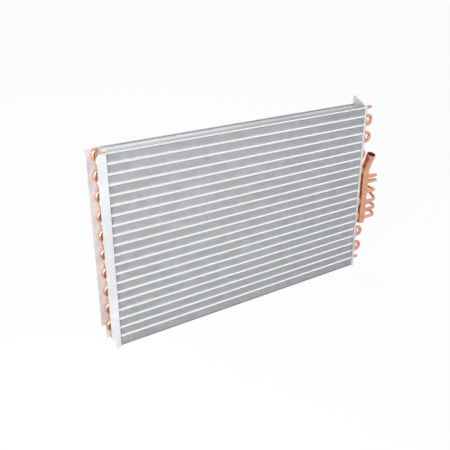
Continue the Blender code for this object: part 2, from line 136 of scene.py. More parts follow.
# How the tubes are laid out and joined

def tube_place(sizes, row, number):
    """Y and Z of a tube's axis."""
    y = ROW_SIDE[row] * sizes.row_pitch
    return y, sizes.top_tube - (number + STAGGER[row]) * sizes.tube_pitch


def joints():
    """Return bends as (row, number, row, number), the lower half mirroring the upper half."""
    last = PER_ROW - 1
    upper = [("front", HALF - 1, "middle", HALF - 1)]
    for row, stop in (("front", HALF - 1), ("middle", HALF - 3), ("back", HALF - 1)):
        upper += [(row, number, row, number + 1) for number in range(1, stop, 2)]
    lower = [("front", HALF, "middle", HALF)]
    lower += [(row, last - below, row, last - number) for row, number, _, below in upper[1:]]
    return upper + lower


def joint_node(joint):
    kind = "return_bend" if joint[0] == joint[2] else "crossover"
    return f"{kind}_{joint[0]}_{joint[1] + 1:02d}"


def is_short(joint):
    """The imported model's bends beside the header start less than 9 mm from the fins."""
    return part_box(joint_node(joint))[0].x - FIN_HIGH.x < 0.009


def leg_end(sizes, tube):
    """X of a tube's end at the header side."""
    if tube in OUTLETS:
        return FIN_HIGH.x + sizes.short_end
    for joint in joints():
        if tube in (joint[:2], joint[2:]):
            return FIN_HIGH.x + (sizes.short_end if is_short(joint) else sizes.long_end)
    return FIN_HIGH.x + sizes.inlet_end


# Surface effects that several finishes share

def new_group(name, inputs, outputs):
    group = bpy.data.node_groups.new(name, "ShaderNodeTree")
    for label, kind, value in inputs:
        socket = group.interface.new_socket(name=label, in_out="INPUT", socket_type=kind)
        socket.default_value = value
    for label, kind in outputs:
        group.interface.new_socket(name=label, in_out="OUTPUT", socket_type=kind)
    return group, group.nodes.new("NodeGroupInput"), group.nodes.new("NodeGroupOutput")


def grain_group():
    """Drawn or rolled grain: a mask, a roughness and a height from stretched noise."""
    if "metal_grain" in bpy.data.node_groups:
        return bpy.data.node_groups["metal_grain"]
    group, given, result = new_group(
        "metal_grain",
        [("Stretch", "NodeSocketVector", (1.0, 1.0, 1.0)), ("Scale", "NodeSocketFloat", 60.0),
         ("Smooth", "NodeSocketFloat", 0.25), ("Rough", "NodeSocketFloat", 0.45)],
        [("Mask", "NodeSocketFloat"), ("Roughness", "NodeSocketFloat"),
         ("Height", "NodeSocketFloat")])
    nodes, links = group.nodes, group.links
    place = nodes.new("ShaderNodeTexCoord")
    stretch = nodes.new("ShaderNodeVectorMath")
    stretch.operation = "MULTIPLY"
    noise = nodes.new("ShaderNodeTexNoise")
    noise.inputs["Detail"].default_value = 5.0
    contrast = nodes.new("ShaderNodeMapRange")
    contrast.inputs["From Min"].default_value = 0.32
    contrast.inputs["From Max"].default_value = 0.68
    rough = nodes.new("ShaderNodeMapRange")
    links.new(place.outputs["Object"], stretch.inputs[0])
    links.new(given.outputs["Stretch"], stretch.inputs[1])
    links.new(stretch.outputs[0], noise.inputs["Vector"])
    links.new(given.outputs["Scale"], noise.inputs["Scale"])
    links.new(noise.outputs["Fac"], contrast.inputs["Value"])
    links.new(contrast.outputs[0], rough.inputs["Value"])
    links.new(given.outputs["Smooth"], rough.inputs["To Min"])
    links.new(given.outputs["Rough"], rough.inputs["To Max"])
    links.new(contrast.outputs[0], result.inputs["Mask"])
    links.new(rough.outputs[0], result.inputs["Roughness"])
    links.new(noise.outputs["Fac"], result.inputs["Height"])
    return group


def spangle_group():
    """Zinc spangle: flat crystals, each with its own brightness."""
    if "zinc_spangle" in bpy.data.node_groups:
        return bpy.data.node_groups["zinc_spangle"]
    group, given, result = new_group(
        "zinc_spangle", [("Scale", "NodeSocketFloat", 90.0)], [("Mask", "NodeSocketFloat")])
    nodes, links = group.nodes, group.links
    place = nodes.new("ShaderNodeTexCoord")
    warp = nodes.new("ShaderNodeTexNoise")
    warp.inputs["Scale"].default_value = 40.0
    lift = nodes.new("ShaderNodeVectorMath")
    lift.operation = "MULTIPLY_ADD"
    lift.inputs[1].default_value = (0.012, 0.012, 0.012)
    cells = nodes.new("ShaderNodeTexVoronoi")
    split = nodes.new("ShaderNodeSeparateColor")
    links.new(place.outputs["Object"], warp.inputs["Vector"])
    links.new(warp.outputs["Color"], lift.inputs[0])
    links.new(place.outputs["Object"], lift.inputs[2])
    links.new(lift.outputs[0], cells.inputs["Vector"])
    links.new(given.outputs["Scale"], cells.inputs["Scale"])
    links.new(cells.outputs["Color"], split.inputs["Color"])
    links.new(split.outputs["Red"], result.inputs["Mask"])
    return group


# How far a finish's grain is drawn out along X, Y and Z
EVEN = (1.0, 1.0, 1.0)
DRAWN = (0.15, 1.0, 1.0)
ROLLED = (0.2, 1.0, 1.0)

# Each finish: its light colour and the share of it, its dark colour and the share of it, metallic,
# the grain's stretch and scale, the least and the most roughness, and the bump's strength
FINISHES = {
    "Drawn copper": ("copper", 1.0, "copper_dull", 1.0, 1.0, DRAWN, 130.0, 0.24, 0.42, 0.15),
    "Fin stock": ("fin", 1.0, "fin", 0.9, 0.25, EVEN, 55.0, 0.36, 0.52, 0.10),
    "Drawn collars": ("collar", 1.0, "collar", 0.95, 0.95, EVEN, 90.0, 0.16, 0.26, 0.10),
    "Braze alloy": ("braze", 1.0, "braze", 0.8, 0.9, EVEN, 420.0, 0.30, 0.55, 0.45),
    "Dull sheet": ("zinc_dull", 0.8, "zinc_dull", 0.66, 0.4, ROLLED, 90.0, 0.42, 0.58, 0.08),
    # The rail's sheet is darkened far below plain zinc to paint the shade along the fins' bottom
    # edge
    "Dark rail": ("zinc_dull", 0.42, "zinc_dull", 0.32, 0.4, ROLLED, 90.0, 0.42, 0.58, 0.08),
    "Galvanised sheet": ("zinc", 1.0, "zinc_dull", 1.0, 0.45, EVEN, 14.0, 0.34, 0.52, 0.08),
}
RELIEF_DEPTH = 0.0003
RING_RELIEF, RING_DEPTH = 0.2, 0.0001
SPANGLE_SCALE, SPANGLE_SHARE = 85.0, 0.6


def metal(name, light, dark, metallic, stretch, scale, smooth, rough, bump):
    """A bare metal whose two colours, roughness and fine relief all follow its grain."""
    made = bpy.data.materials.new(name)
    made.use_nodes = True
    nodes, links = made.node_tree.nodes, made.node_tree.links
    shader = nodes["Principled BSDF"]
    shader.inputs["Metallic"].default_value = metallic
    grain = nodes.new("ShaderNodeGroup")
    grain.node_tree = grain_group()
    grain.inputs["Stretch"].default_value = stretch
    grain.inputs["Scale"].default_value = scale
    grain.inputs["Smooth"].default_value = smooth
    grain.inputs["Rough"].default_value = rough
    mix = nodes.new("ShaderNodeMix")
    mix.data_type = "RGBA"
    mix.inputs["A"].default_value = (*dark, 1.0)
    mix.inputs["B"].default_value = (*light, 1.0)
    relief = nodes.new("ShaderNodeBump")
    relief.inputs["Strength"].default_value = bump
    relief.inputs["Distance"].default_value = RELIEF_DEPTH
    links.new(grain.outputs["Mask"], mix.inputs["Factor"])
    links.new(mix.outputs["Result"], shader.inputs["Base Color"])
    links.new(grain.outputs["Roughness"], shader.inputs["Roughness"])
    links.new(grain.outputs["Height"], relief.inputs["Height"])
    links.new(relief.outputs["Normal"], shader.inputs["Normal"])
    return made


def finish(name):
    """The material of one finish, built when it is first asked for."""
    if name in bpy.data.materials and bpy.data.materials[name].get("coil_finish"):
        return bpy.data.materials[name]
    colours = bpy.context.scene.coil_colours
    light, light_share, dark, dark_share, *look = FINISHES[name]
    made = metal(name, [light_share * c for c in getattr(colours, light)],
                 [dark_share * c for c in getattr(colours, dark)], *look)
    if name == "Drawn collars":
        add_collar_rings(made)
    elif name == "Galvanised sheet":
        add_spangle(made, colours)
    made["coil_finish"] = True
    return made


def add_collar_rings(made):
    """Rings the sleeve of collars at the fin pitch, because each collar ends in a small lip."""
    nodes, links = made.node_tree.nodes, made.node_tree.links
    place = nodes.new("ShaderNodeTexCoord")
    rings = nodes.new("ShaderNodeTexWave")
    # The wave texture repeats every tau / 20 of its own units
    rings.inputs["Scale"].default_value = math.tau / (20.0 * bpy.context.scene.coil_sizes.fin_pitch)
    relief = nodes.new("ShaderNodeBump")
    relief.inputs["Strength"].default_value = RING_RELIEF
    relief.inputs["Distance"].default_value = RING_DEPTH
    links.new(place.outputs["Object"], rings.inputs["Vector"])
    links.new(rings.outputs["Fac"], relief.inputs["Height"])
    links.new(nodes["Bump"].outputs["Normal"], relief.inputs["Normal"])
    links.new(relief.outputs["Normal"], nodes["Principled BSDF"].inputs["Normal"])


def add_spangle(made, colours):
    """Mixes the zinc crystals into the sheet's colour."""
    nodes, links = made.node_tree.nodes, made.node_tree.links
    cells = nodes.new("ShaderNodeGroup")
    cells.node_tree = spangle_group()
    cells.inputs["Scale"].default_value = SPANGLE_SCALE
    fade = nodes.new("ShaderNodeMapRange")
    fade.inputs["To Min"].default_value = 0.0
    fade.inputs["To Max"].default_value = SPANGLE_SHARE
    mix = nodes.new("ShaderNodeMix")
    mix.data_type = "RGBA"
    mix.inputs["B"].default_value = (*colours.zinc_dull, 1.0)
    links.new(cells.outputs["Mask"], fade.inputs["Value"])
    links.new(fade.outputs[0], mix.inputs["Factor"])
    links.new(nodes["Mix"].outputs["Result"], mix.inputs["A"])
    links.new(mix.outputs["Result"], nodes["Principled BSDF"].inputs["Base Color"])


# Modelling steps that several pieces share

def start_clean():
    if bpy.context.object and bpy.context.object.mode != "OBJECT":
        bpy.ops.object.mode_set(mode="OBJECT")
    bpy.ops.object.select_all(action="DESELECT")


def pick(piece):
    """Selects one piece alone."""
    start_clean()
    piece.select_set(True)
    bpy.context.view_layer.objects.active = piece


def seat_at_origin(piece):
    """Moves the object's own place, turn and size into its mesh."""
    pick(piece)
    bpy.ops.object.transform_apply(location=True, rotation=True, scale=True)


def close_up(piece, smooth_deg=40.0):
    """Merges doubled points, turns the faces outwards and smooths the round ones."""
    pick(piece)
    bpy.ops.object.mode_set(mode="EDIT")
    bpy.ops.mesh.select_all(action="SELECT")
    bpy.ops.mesh.remove_doubles(threshold=0.000002)
    bpy.ops.mesh.normals_make_consistent(inside=False)
    bpy.ops.object.mode_set(mode="OBJECT")
    bpy.ops.object.shade_smooth_by_angle(angle=math.radians(smooth_deg))


def apply_modifier(piece, kind, **settings):
    pick(piece)
    modifier = piece.modifiers.new(kind.lower(), kind)
    for key, value in settings.items():
        setattr(modifier, key, value)
    bpy.ops.object.modifier_apply(modifier=modifier.name)


def join_pieces(name, pieces):
    """Joins finished copies into one named piece."""
    start_clean()
    for piece in pieces:
        piece.select_set(True)
    bpy.context.view_layer.objects.active = pieces[0]
    bpy.ops.object.join()
    joined = bpy.context.object
    joined.name = name
    return joined


def copy_to(piece, step):
    """A moved copy with its own mesh."""
    twin = piece.copy()
    twin.data = piece.data.copy()
    bpy.context.scene.collection.objects.link(twin)
    twin.data.transform(Matrix.Translation(step))
    return twin


def dress(piece, finish_name, slot_name, *nodes):
    """Gives a piece its finish and its body, and lets it stand for its CAD nodes; its slot name is
    not used.
    """
    piece.data.materials.clear()
    piece.data.materials.append(finish(finish_name))
    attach(piece, "root")
    if nodes:
        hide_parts(*nodes)
    return piece


def rounded_path(corners, radius, steps):
    """Route whose corners are rounded by an arc, or by a smaller one where the run is short."""
    points = [Vector(corner) for corner in corners]
    route = [points[0]]
    for before, corner, after in zip(points, points[1:], points[2:]):
        into = (corner - before).normalized()
        out = (after - corner).normalized()
        turn = into.angle(out)
        # Just under half of each run, so that the arcs at its two ends never meet
        room = 0.49 * min((corner - before).length, (after - corner).length)
        trim = min(radius * math.tan(turn / 2), room)
        bend = trim / math.tan(turn / 2)
        centre = corner + (out - into).normalized() * (bend / math.cos(turn / 2))
        start = corner - into * trim - centre
        axis = into.cross(out).normalized()
        for i in range(steps + 1):
            angle = turn * i / steps
            route.append(centre + start * math.cos(angle) + axis.cross(start) * math.sin(angle))
    route.append(points[-1])
    return route


def half_turn(start, end, out, steps):
    """Half a circle from start to end that bulges the way that out points."""
    start, end = Vector(start), Vector(end)
    middle = (start + end) / 2
    arm = start - middle
    bulge = Vector(out).normalized() * arm.length
    return [middle + arm * math.cos(math.pi * i / steps) + bulge * math.sin(math.pi * i / steps)
            for i in range(steps + 1)]


def bent_tube(name, stations, resolution=6):
    """A round bar drawn along stations of (place, radius), with closed ends."""
    start_clean()
    bpy.ops.curve.primitive_bezier_curve_add(location=(0.0, 0.0, 0.0))
    piece = bpy.context.object
    piece.name = name
    line = piece.data
    line.splines.clear()
    spline = line.splines.new("POLY")
    spline.points.add(len(stations) - 1)
    for point, (place, radius) in zip(spline.points, stations):
        point.co = (*place, 1.0)
        point.radius = radius
    line.dimensions = "3D"
    line.bevel_depth = 1.0
    line.bevel_resolution = resolution
    line.use_fill_caps = True
    bpy.ops.object.convert(target="MESH")
    piece = bpy.context.object
    close_up(piece)
    return piece


def ring(place, axis, radius, bead, around=20):
    """A fillet of braze round a joint."""
    start_clean()
    turn = Vector((0.0, 0.0, 1.0)).rotation_difference(Vector(axis)).to_euler()
    bpy.ops.mesh.primitive_torus_add(location=place, rotation=turn, major_radius=radius,
                                     minor_radius=bead, major_segments=around, minor_segments=8)
    piece = bpy.context.object
    piece.name = "bead"
    seat_at_origin(piece)
    close_up(piece, 80.0)
    return piece


# Room between an edge tube and the back of its notch, and the names of the pack's three thirds
NOTCH_ROOM = 0.0003
FIN_GROUPS = ("fins_left", "fins_centre", "fins_right")


class COIL_OT_fins(bpy.types.Operator):
    """Build the pack of thin fins, notched for the tubes at its front and back edges"""
    bl_idname = "coil.fins"
    bl_label = "Fins"

    def execute(self, context):
        sizes = context.scene.coil_sizes
        depth, height = FIN_HIGH.y - FIN_LOW.y, FIN_HIGH.z - FIN_LOW.z
        middle = (FIN_HIGH.z + FIN_LOW.z) / 2
        start_clean()
        bpy.ops.mesh.primitive_plane_add(size=1.0, rotation=(0.0, math.pi / 2, 0.0),
                                         location=(0.0, 0.0, 0.0))
        fin = bpy.context.object
        seat_at_origin(fin)
        bpy.ops.object.mode_set(mode="EDIT")
        bpy.ops.mesh.select_all(action="SELECT")
        bpy.ops.transform.resize(value=(1.0, depth, height))
        bpy.ops.transform.translate(value=(FIN_LOW.x + sizes.fin_sheet, 0.0, middle))
        lip = sizes.fin_mouth / 2
        reach = sizes.tube_diameter / 2 + NOTCH_ROOM
        heights = [tube_place(sizes, "front", number)[1] for number in range(PER_ROW)]
        cuts = [((0, side * (sizes.row_pitch - reach), 0), (0, 1, 0)) for side in (-1, 1)]
        for number, z in enumerate(heights):
            cuts.append(((0, 0, z - lip), (0, 0, 1)))
            # The topmost notch is open upwards
            if number:
                cuts.append(((0, 0, z + lip), (0, 0, 1)))
        for place, normal in cuts:
            bpy.ops.mesh.select_all(action="SELECT")
            bpy.ops.mesh.bisect(plane_co=place, plane_no=normal)
        bpy.ops.mesh.select_all(action="DESELECT")
        bpy.ops.mesh.select_mode(type="FACE")
        bpy.ops.object.mode_set(mode="OBJECT")
        for face in fin.data.polygons:
            near = min(abs(face.center.z - z) for z in heights)
            face.select = near < lip and abs(face.center.y) > sizes.row_pitch - reach
        bpy.ops.object.mode_set(mode="EDIT")
        bpy.ops.mesh.delete(type="FACE")
        bpy.ops.mesh.select_all(action="SELECT")
        bpy.ops.mesh.dissolve_limited(angle_limit=0.02)
        bpy.ops.object.mode_set(mode="OBJECT")
        apply_modifier(fin, "SOLIDIFY", thickness=sizes.fin_sheet, offset=0.0)
        span = FIN_HIGH.x - FIN_LOW.x - 2 * sizes.fin_sheet
        gaps = round(span / sizes.fin_pitch)
        pitch, count = span / gaps, gaps + 1
        share = math.ceil(count / len(FIN_GROUPS))
        for part, name in enumerate(FIN_GROUPS):
            group = copy_to(fin, Vector((part * share * pitch, 0.0, 0.0)))
            group.name = name
            amount = min(share, count - part * share)
            apply_modifier(group, "ARRAY", count=amount, use_relative_offset=False,
                           use_constant_offset=True, constant_offset_displace=(pitch, 0.0, 0.0))
            dress(group, "Fin stock", "fin_aluminium", *(("fin_pack",) if part == 0 else ()))
        bpy.data.objects.remove(fin, do_unlink=True)
        return {"FINISHED"}


# Room between a tube and its sleeve, and how much longer a sleeve is than the fin pack
SLEEVE_ROOM = 0.00005
SLEEVE_EXTRA = 0.0044


class COIL_OT_collars(bpy.types.Operator):
    """Wrap the edge tubes in the sleeve that the fins' collars make"""
    bl_idname = "coil.collars"
    bl_label = "Fin collars"

    def execute(self, context):
        sizes = context.scene.coil_sizes
        wall = sizes.collar_wall
        length = FIN_HIGH.x - FIN_LOW.x + SLEEVE_EXTRA
        for row in ("front", "back"):
            y, z = tube_place(sizes, row, 0)
            start_clean()
            bpy.ops.mesh.primitive_cylinder_add(
                vertices=24, radius=sizes.tube_diameter / 2 + SLEEVE_ROOM + wall, depth=length,
                end_fill_type="NOTHING", rotation=(0.0, math.pi / 2, 0.0), location=(0.0, y, z))
            sleeve = bpy.context.object
            seat_at_origin(sleeve)
            close_up(sleeve)
            apply_modifier(sleeve, "SOLIDIFY", thickness=wall, offset=-1.0)
            apply_modifier(sleeve, "ARRAY", count=PER_ROW, use_relative_offset=False,
                           use_constant_offset=True,
                           constant_offset_displace=(0.0, 0.0, -sizes.tube_pitch))
            sleeve.name = f"collars_{row}"
            close_up(sleeve)
            dress(sleeve, "Drawn collars", "fin_aluminium")
        return {"FINISHED"}


# Tube ends: the edge broken on a cut end, and the length, the tip's radius and the angles in
# degrees of a spun end
CUT_EDGE = 0.0004
SPUN_END, SPUN_TIP = 0.002, 0.0001
SPUN_ANGLES = (89, 70, 50, 30, 12, 0)
TURN_STEPS = 14


class COIL_OT_hairpins(bpy.types.Operator):
    """Build the hairpin tubes, bent at the left end"""
    bl_idname = "coil.hairpins"
    bl_label = "Hairpin tubes"

    def execute(self, context):
        sizes = context.scene.coil_sizes
        radius = sizes.tube_diameter / 2
        for row in STAGGER:
            for number in range(0, PER_ROW - 1, 2):
                node = f"hairpin_{row}_{number // 2 + 1:02d}"
                y, upper = tube_place(sizes, row, number)
                _, lower = tube_place(sizes, row, number + 1)
                bend_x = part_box(node)[0].x + radius + sizes.tube_pitch / 2
                legs = []
                for place, z in ((number, upper), (number + 1, lower)):
                    end = leg_end(sizes, (row, place))
                    leg = [((end, y, z), radius - CUT_EDGE), ((end - CUT_EDGE, y, z), radius)]
                    # The topmost and the lowest tube are inlets with ends spun closed
                    if place in (0, PER_ROW - 1):
                        leg = [((end - SPUN_END + SPUN_END * math.sin(angle), y, z),
                                max(radius * math.cos(angle), SPUN_TIP))
                               for angle in (math.radians(degrees) for degrees in SPUN_ANGLES)]
                    legs.append(leg)
                turn = half_turn((bend_x, y, upper), (bend_x, y, lower), (-1, 0, 0), TURN_STEPS)
                stations = legs[0] + [(point, radius) for point in turn] + legs[1][::-1]
                piece = bent_tube(f"{node}_tube", stations)
                dress(piece, "Drawn copper", "copper_tube", node)
        return {"FINISHED"}


# Sockets of the return bends: wall and length beside the header, length elsewhere, the least
# length of the bell, how far before its end it starts and stops narrowing, and its mouth's edge
SHORT_WALL, SHORT_NECK = 0.0003, 0.0012
LONG_NECK = 0.0072
LEAST_BELL = 0.0006
NARROW_FROM, NARROW_TO = 0.0012, 0.0003
MOUTH_RUN, MOUTH_DROP = 0.0003, 0.0002

# Beads of braze at the tubes' ends: their own radius, how far out of the tube they are centred,
# and how far before a socket or past an outlet's end
BEAD, BEAD_OUT = 0.00055, 0.0002
BEAD_BEFORE, BEAD_PAST = 0.0001, 0.0002


class COIL_OT_return_bends(bpy.types.Operator):
    """Build the return bends and crossovers with their belled sockets and braze"""
    bl_idname = "coil.return_bends"
    bl_label = "Return bends"

    def execute(self, context):
        sizes = context.scene.coil_sizes
        radius = sizes.tube_diameter / 2
        beads = []
        for joint in joints():
            node = joint_node(joint)
            low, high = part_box(node)
            (y_a, z_a), (y_b, z_b) = tube_place(sizes, *joint[:2]), tube_place(sizes, *joint[2:])
            span = math.hypot(y_a - y_b, z_a - z_b)
            bend_x = high.x - radius - span / 2
            bell = radius + (SHORT_WALL if is_short(joint) else sizes.socket_wall)
            neck = SHORT_NECK if is_short(joint) else LONG_NECK
            xs = [(low.x, bell - MOUTH_DROP), (low.x + MOUTH_RUN, bell),
                  (low.x + max(neck - NARROW_FROM, LEAST_BELL), bell),
                  (low.x + neck - NARROW_TO, radius)]
            turn = half_turn((bend_x, y_a, z_a), (bend_x, y_b, z_b), (1, 0, 0), TURN_STEPS)
            stations = [((x, y_a, z_a), r) for x, r in xs] + [(point, radius) for point in turn]
            stations += [((x, y_b, z_b), r) for x, r in reversed(xs)]
            piece = bent_tube(f"{node}_tube", stations)
            dress(piece, "Drawn copper", "copper_tube", node)
            for y, z in ((y_a, z_a), (y_b, z_b)):
                beads.append(ring((low.x - BEAD_BEFORE, y, z), (1, 0, 0), radius + BEAD_OUT,
                                  BEAD))
        for row, number in OUTLETS:
            y, z = tube_place(sizes, row, number)
            beads.append(ring((FIN_HIGH.x + sizes.short_end + BEAD_PAST, y, z), (1, 0, 0),
                              radius + BEAD_OUT, BEAD))
        dress(join_pieces("braze_beads", beads), "Braze alloy", "copper_tube")
        return {"FINISHED"}


# The header's axis, right of the fins and behind their front edge, and its rounded foot
HEADER_OUT, HEADER_BACK = 0.0375, 0.0114
FOOT_RADIUS, FOOT_STEPS = 0.006, 6

# The stub: its seam in tube pitches below the top tube, the step above the seam, the height of its
# knee, its length from there and its lean to the front
SEAM_PITCHES, SEAM_STEP = 7.9, 0.0004
KNEE, STUB_LENGTH = 0.006, 0.0565
STUB_LEAN = math.radians(20.0)

# Its swaged mouth: how much wider it is on each side, where it starts and is full, measured from
# the mouth, the mouth's edge, and the bore's radius and length, half of which is inside the stub
SWAGE, SWAGE_START, SWAGE_FULL, SWAGE_EDGE = 0.001, 0.0132, 0.0120, 0.0006
BORE_RADIUS, BORE_LENGTH = 0.01125, 0.076

# Each feeder: its reach past the fins, then the heights of its run behind the header and of its
# entry into it, in tube pitches below the top tube
FEEDERS = ((0.093, 9.0, 8.73), (0.095, 9.65, 9.38), (0.091, 10.6, 10.67),
           (0.095, 11.15, 11.92), (0.097, 12.6, 13.0), (0.096, 13.6, 14.03))
FEEDER_BEND, FEEDER_STEPS = 0.011, 8

# The open joint at a feeder's start, and how far out it ends, as a share of the header's radius
FEEDER_GAP, FEEDER_END = 0.0003, 0.7

# Feeders of the middle row step back to this lane between the first two distances from the fins,
# those of the back row run straight as far as the third, and at the last one all of them are at
# the height of their run behind the header
LANE = 0.0065
LANE_FROM, LANE_TO, STRAIGHT_TO, LEVEL_FROM = 0.010, 0.022, 0.0485, 0.072

# Beads of braze on the header, at its seam and where a feeder enters it: their own radius, and
# how far inside the header's wall or out of the feeder they are centred
SEAM_BEAD, SEAM_BEAD_IN = 0.0012, 0.0003
ENTRY_BEAD, ENTRY_BEAD_OUT, ENTRY_BEAD_IN = 0.0007, 0.0003, 0.0001


class COIL_OT_header(bpy.types.Operator):
    """Build the suction header with its leaning stub and its six bent feeders"""
    bl_idname = "coil.header"
    bl_label = "Suction header"

    def execute(self, context):
        sizes = context.scene.coil_sizes
        radius = sizes.header_diameter / 2
        x, y = FIN_HIGH.x + HEADER_OUT, FIN_LOW.y + HEADER_BACK
        seam = sizes.top_tube - SEAM_PITCHES * sizes.tube_pitch
        self.add_body(x, y, seam, radius)
        tube = sizes.tube_diameter / 2
        beads = [ring((x, y, seam), (0, 0, 1), radius - SEAM_BEAD_IN, SEAM_BEAD, around=40)]
        for place, ((row, number), (reach, behind, entry)) in enumerate(zip(OUTLETS, FEEDERS), 1):
            lane, z = tube_place(sizes, row, number)
            reach += FIN_HIGH.x
            entry = sizes.top_tube - entry * sizes.tube_pitch
            behind = sizes.top_tube - behind * sizes.tube_pitch
            corners = [(FIN_HIGH.x + sizes.short_end + FEEDER_GAP, lane, z)]
            if row == "middle":
                corners += [(FIN_HIGH.x + LANE_FROM, lane, z), (FIN_HIGH.x + LANE_TO, LANE, z)]
                lane = LANE
            else:
                corners.append((FIN_HIGH.x + STRAIGHT_TO, lane, z))
            corners += [(FIN_HIGH.x + LEVEL_FROM, lane, behind), (reach, lane, behind),
                        (reach, y, entry), (x + radius * FEEDER_END, y, entry)]
            route = rounded_path(corners, FEEDER_BEND, FEEDER_STEPS)
            piece = bent_tube(f"feeder_{place}", [(point, tube) for point in route])
            dress(piece, "Drawn copper", "copper_tube")
            beads.append(ring((x + radius - ENTRY_BEAD_IN, y, entry), (1, 0, 0),
                              tube + ENTRY_BEAD_OUT, ENTRY_BEAD))
        dress(join_pieces("header_braze", beads), "Braze alloy", "copper_tube")
        return {"FINISHED"}

    @staticmethod
    def add_body(x, y, seam, radius):
        """Draws the header's tube from its rounded foot to the stub's mouth and bores it."""
        stations = []
        for i in range(FOOT_STEPS + 1):
            angle = math.pi / 2 * i / FOOT_STEPS
            stations.append(((x, y, HEADER_LOW.z + FOOT_RADIUS * (1.0 - math.cos(angle))),
                             radius - FOOT_RADIUS * (1.0 - math.sin(angle))))
        stations.append(((x, y, seam + SEAM_STEP), radius))
        along = Vector((0.0, -math.sin(STUB_LEAN), math.cos(STUB_LEAN)))
        knee = Vector((x, y, seam + KNEE))
        mouth = knee + along * STUB_LENGTH
        bent = rounded_path([Vector((x, y, seam + SEAM_STEP)), knee, mouth], radius, 6)[1:-1]
        stations += [(point, radius) for point in bent]
        wide = radius + SWAGE
        stations += [(mouth - along * SWAGE_START, radius), (mouth - along * SWAGE_FULL, wide),
                     (mouth - along * SWAGE_EDGE, wide), (mouth, wide - SWAGE_EDGE)]
        body = bent_tube("suction_header_body", stations, 14)
        start_clean()
        turn = Vector((0.0, 0.0, 1.0)).rotation_difference(along).to_euler()
        bpy.ops.mesh.primitive_cylinder_add(vertices=32, radius=BORE_RADIUS, depth=BORE_LENGTH,
                                            location=mouth, rotation=turn)
        bore = bpy.context.object
        seat_at_origin(bore)
        apply_modifier(body, "BOOLEAN", operation="DIFFERENCE", solver="EXACT", object=bore)
        bpy.data.objects.remove(bore, do_unlink=True)
        dress(body, "Drawn copper", "copper_tube", "suction_header")


# The base rail's darkened sheet paints the shade along the fins' bottom edge
SHEET_FINISHES = {"left_end_plate": "Galvanised sheet", "right_end_plate": "Galvanised sheet",
                  "base_rail": "Dark rail", "top_strip": "Galvanised sheet"}

# Drawn lips round the plates' holes: their middle past the fins on the left and on the right, how
# far they stand out of the tube, their length and their wall
LIPS_LEFT, LIPS_RIGHT = 0.0046, 0.0043
LIP_OUT, LIP_LENGTH, LIP_WALL = 0.0009, 0.0009, 0.00075

# Thin caps on the topmost tubes: their height over the tube, how far the back one passes the
# tube's axis, their sheet and its rounded edge
CAP_RISE, CAP_PAST = 0.00025, 0.0014
CAP_SHEET, CAP_EDGE = 0.0006, 0.00015


class COIL_OT_plates(bpy.types.Operator):
    """Finish the sheet parts and add the plates' drawn lips and the caps on the topmost tubes"""
    bl_idname = "coil.plates"
    bl_label = "End plates"

    def execute(self, context):
        sizes = context.scene.coil_sizes
        for node, plain in SHEET_FINISHES.items():
            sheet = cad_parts[node]
            for place in range(len(sheet.material_slots)):
                sheet.material_slots[place].material = finish(plain)
        tubes = [(row, number) for row in STAGGER for number in range(PER_ROW)]
        self.add_lips(sizes, "left_hole_collars", FIN_LOW.x - LIPS_LEFT,
                      [tube for tube in tubes if tube not in (("front", 0), ("back", 0))])
        self.add_lips(sizes, "right_hole_collars", FIN_HIGH.x + LIPS_RIGHT,
                      [tube for tube in tubes if tube not in OUTLETS])
        front, crown = tube_place(sizes, "front", 0)
        crown += sizes.tube_diameter / 2 + CAP_RISE
        inner = front + sizes.tube_diameter / 2
        lip = sizes.top_tube + sizes.fin_mouth / 2 - crown
        self.add_cap("front_cap", FIN_LOW.y, inner, crown, lip)
        self.add_cap("back_cap", -inner, -front + CAP_PAST, crown, 0.0)
        return {"FINISHED"}

    @staticmethod
    def add_lips(sizes, name, x, tubes):
        """Puts the drawn lip of a plate's hole round each of the tubes."""
        places = [Vector((x, *tube_place(sizes, *tube))) for tube in tubes]
        start_clean()
        bpy.ops.mesh.primitive_cylinder_add(
            vertices=20, radius=sizes.tube_diameter / 2 + LIP_OUT, depth=LIP_LENGTH,
            end_fill_type="NOTHING", rotation=(0.0, math.pi / 2, 0.0), location=places[0])
        lip = bpy.context.object
        seat_at_origin(lip)
        close_up(lip)
        apply_modifier(lip, "SOLIDIFY", thickness=LIP_WALL, offset=-1.0)
        lips = [lip] + [copy_to(lip, place - places[0]) for place in places[1:]]
        joined = join_pieces(name, lips)
        close_up(joined)
        dress(joined, "Galvanised sheet", "galvanised_sheet")

    @staticmethod
    def add_cap(name, near, far, crown, lip):
        """Folds a thin cap that lies on a topmost tube, with a lip in front where it has one."""
        start_clean()
        bpy.ops.mesh.primitive_plane_add(size=1.0, location=(0.0, 0.0, 0.0))
        cap = bpy.context.object
        cap.name = name
        bpy.ops.object.mode_set(mode="EDIT")
        bpy.ops.mesh.select_all(action="SELECT")
        bpy.ops.transform.resize(value=(FIN_HIGH.x - FIN_LOW.x, far - near, 1.0))
        bpy.ops.transform.translate(value=((FIN_HIGH.x + FIN_LOW.x) / 2, (far + near) / 2, crown))
        if lip:
            bpy.ops.mesh.select_all(action="DESELECT")
            bpy.ops.mesh.select_mode(type="EDGE")
            bpy.ops.object.mode_set(mode="OBJECT")
            points = cap.data.vertices
            for edge in cap.data.edges:
                edge.select = all(points[v].co.y < (near + far) / 2 for v in edge.vertices)
            bpy.ops.object.mode_set(mode="EDIT")
            bpy.ops.mesh.extrude_region_move(TRANSFORM_OT_translate={"value": (0.0, 0.0, lip)})
        bpy.ops.object.mode_set(mode="OBJECT")
        apply_modifier(cap, "SOLIDIFY", thickness=CAP_SHEET, offset=1.0)
        apply_modifier(cap, "BEVEL", width=CAP_EDGE, segments=2, limit_method="ANGLE")
        close_up(cap)
        dress(cap, "Dull sheet", "galvanised_sheet")


